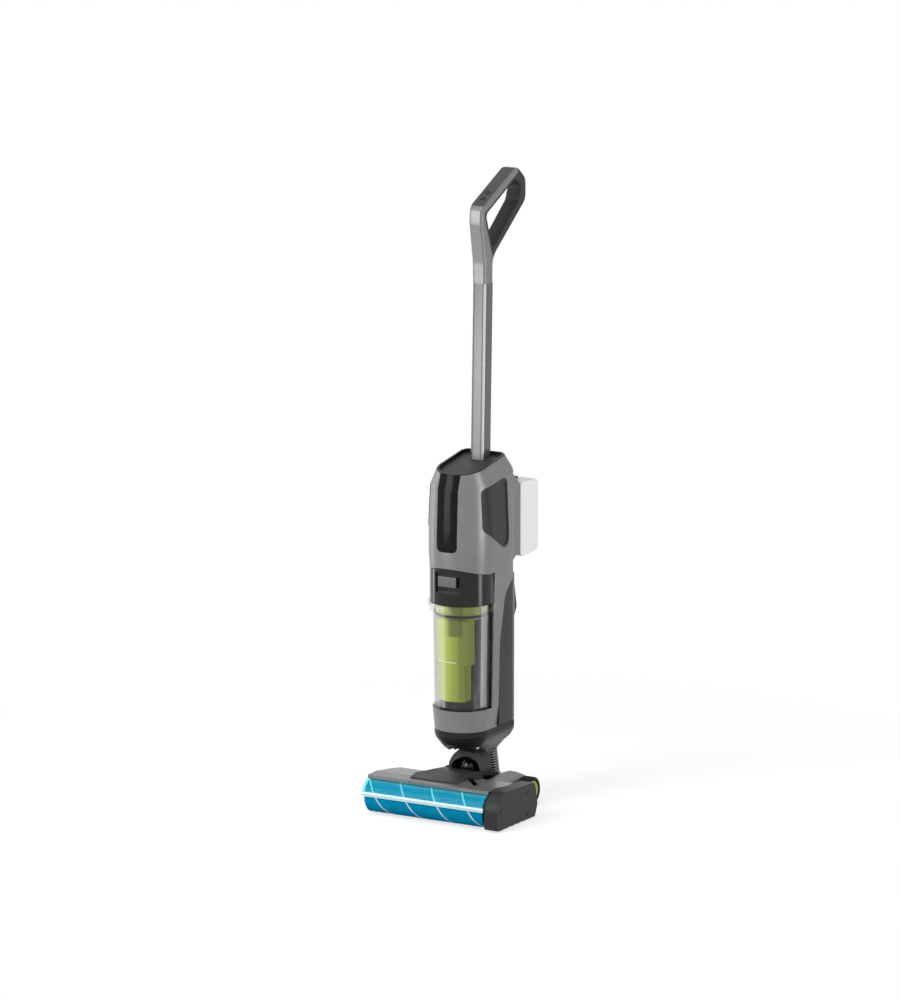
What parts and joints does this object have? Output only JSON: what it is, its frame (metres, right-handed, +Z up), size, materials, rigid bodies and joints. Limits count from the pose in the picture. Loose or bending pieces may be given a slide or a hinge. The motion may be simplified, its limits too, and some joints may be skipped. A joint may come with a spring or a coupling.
{
  "type": "wet dry floor scrubber",
  "caption": "Cordless upright wet and dry floor scrubber with a powered roller head, tilting and swivelling neck, clear dirty-water tank, clean-water tank, removable battery and looped handle.",
  "frame": {"origin": "on the floor, under the middle of the machine's overall box", "axes": "+Z up, -Y to the front where the roller is, +X to the end of the head that holds the drive"},
  "size_m": [0.27, 0.316, 1.1123],
  "materials": {
    "silver_plastic": "satin silver-grey moulding",
    "charcoal_plastic": "fine matte charcoal moulding",
    "black_gloss": "gloss black moulding",
    "black_rubber": "black rubber",
    "steel": "plated steel",
    "motor_alloy": "die-cast and stamped alloy",
    "lime_plastic": "lime translucent moulding",
    "smoked_plastic": "smoked plastic",
    "clear_plastic": "clear polycarbonate",
    "blue_microfibre": "microfibre nap with white spiral stripes",
    "green_board": "circuit board",
    "white_foam": "white foam and float",
    "frosted_plastic": "pale frosted casing"
  },
  "bodies": {
    "head": {"head_base": "charcoal_plastic", "head_top_cover": "silver_plastic", "centre_cover": "charcoal_plastic", "left_end_plate": "charcoal_plastic", "right_end_cap": "charcoal_plastic", "scraper_bar": "black_gloss", "squeegee_blade": "black_rubber", "water_bar": "black_gloss", "suction_duct": "smoked_plastic", "brush_motor": "motor_alloy", "drive_belt": "black_rubber", "wheel_axles": "steel", "tilt_pins": "steel", "head_screws": "charcoal_plastic", "suction_hose": "smoked_plastic"},
    "window": {"roller_window": "clear_plastic"},
    "window_latch": {"window_latch": "silver_plastic"},
    "roller": {"roller_core": "charcoal_plastic", "roller_sleeve": "blue_microfibre", "roller_pulley": "motor_alloy"},
    "motor_spindle": {"motor_pulley": "motor_alloy"},
    "left_wheel": {"left_tyre": "black_rubber", "left_hub": "lime_plastic"},
    "right_wheel": {"right_tyre": "black_rubber", "right_hub": "lime_plastic"},
    "neck": {"neck_yoke": "charcoal_plastic", "swivel_spindle": "steel", "pivot_cap": "charcoal_plastic"},
    "body": {"lower_cone": "black_gloss", "main_frame": "silver_plastic", "rear_housing": "silver_plastic", "inner_spine": "black_gloss", "top_panel": "charcoal_plastic", "front_strip": "black_gloss", "side_grilles": "charcoal_plastic", "battery_dock": "silver_plastic", "suction_motor": "motor_alloy", "control_board": "green_board", "water_pump": "smoked_plastic", "pole": "charcoal_plastic", "handle_shell": "silver_plastic", "handle_grip": "charcoal_plastic", "grip_strip": "charcoal_plastic", "housing_screws": "steel"},
    "fan": {"motor_fan": "smoked_plastic"},
    "power_button": {"power_button": "smoked_plastic"},
    "mode_button": {"mode_button": "smoked_plastic"},
    "dirty_tank": {"dirty_tank_shell": "clear_plastic", "dirty_tank_lid": "black_gloss", "separator": "lime_plastic", "air_filter": "white_foam", "lid_seal": "black_rubber"},
    "float": {"float": "white_foam"},
    "dirty_tank_latch": {"dirty_tank_latch": "smoked_plastic"},
    "clean_tank": {"clean_tank_shell": "smoked_plastic", "clean_tank_cap": "black_gloss"},
    "clean_tank_latch": {"clean_tank_latch": "charcoal_plastic"},
    "battery": {"battery_case": "frosted_plastic"},
    "battery_latch": {"battery_latch": "charcoal_plastic"}
  },
  "joints": [
    {"name": "neck_tilt", "type": "hinge", "parent": "head", "child": "neck", "pos_m": [0, 0.041, 0.042], "axis": [-1, 0, 0], "range_deg": [0, 60], "deforming": ["suction_hose"]},
    {"name": "body_swivel", "type": "hinge", "parent": "neck", "child": "body", "pos_m": [0, 0.02, 0.074], "axis": [0, 1, 0], "range_deg": [-40, 40]},
    {"name": "roller_spin", "type": "hinge", "parent": "head", "child": "roller", "pos_m": [0, -0.121, 0.0325], "axis": [1, 0, 0], "continuous": true},
    {"name": "motor_spin", "type": "hinge", "parent": "head", "child": "motor_spindle", "pos_m": [0.12, -0.06, 0.029], "axis": [1, 0, 0], "continuous": true},
    {"name": "left_wheel_spin", "type": "hinge", "parent": "head", "child": "left_wheel", "pos_m": [-0.078, 0.056, 0.025], "axis": [1, 0, 0], "continuous": true},
    {"name": "right_wheel_spin", "type": "hinge", "parent": "head", "child": "right_wheel", "pos_m": [0.078, 0.056, 0.025], "axis": [1, 0, 0], "continuous": true},
    {"name": "window_lift", "type": "slide", "parent": "head", "child": "window", "axis": [0, 0, 1], "range_m": [0, 0.03]},
    {"name": "window_latch_press", "type": "slide", "parent": "head", "child": "window_latch", "axis": [0, 1, 0], "range_m": [0, 0.002], "stiffness_N_per_m": 600},
    {"name": "dirty_tank_out", "type": "slide", "parent": "body", "child": "dirty_tank", "axis": [0, -1, 0], "range_m": [0, 0.12]},
    {"name": "dirty_tank_latch_press", "type": "slide", "parent": "dirty_tank", "child": "dirty_tank_latch", "axis": [0, 1, 0], "range_m": [0, 0.004], "stiffness_N_per_m": 600},
    {"name": "float_rise", "type": "slide", "parent": "dirty_tank", "child": "float", "axis": [0, 0, 1], "range_m": [0, 0.015]},
    {"name": "clean_tank_out", "type": "slide", "parent": "body", "child": "clean_tank", "axis": [0, 1, 0], "range_m": [0, 0.1]},
    {"name": "clean_tank_latch_pull", "type": "hinge", "parent": "clean_tank", "child": "clean_tank_latch", "pos_m": [0, 0.08, 0.329], "axis": [-1, 0, 0], "range_deg": [0, 12], "stiffness_Nm_per_rad": 0.6},
    {"name": "battery_out", "type": "slide", "parent": "body", "child": "battery", "axis": [0, 1, 0], "range_m": [0, 0.07]},
    {"name": "battery_latch_press", "type": "slide", "parent": "battery", "child": "battery_latch", "axis": [0, 0, -1], "range_m": [0, 0.003], "stiffness_N_per_m": 600},
    {"name": "fan_spin", "type": "hinge", "parent": "body", "child": "fan", "pos_m": [0, -0.034, 0.46], "axis": [0, 0, 1], "continuous": true},
    {"name": "power_button_press", "type": "slide", "parent": "body", "child": "power_button", "axis": [0, 0.4258, -0.9048], "range_m": [0, 0.0015], "stiffness_N_per_m": 600},
    {"name": "mode_button_press", "type": "slide", "parent": "body", "child": "mode_button", "axis": [0, 0.4258, -0.9048], "range_m": [0, 0.0015], "stiffness_N_per_m": 600}
  ],
  "couplings": [
    {"joint": "motor_spin", "follows": "roller_spin", "ratio": 2.2857}
  ]
}
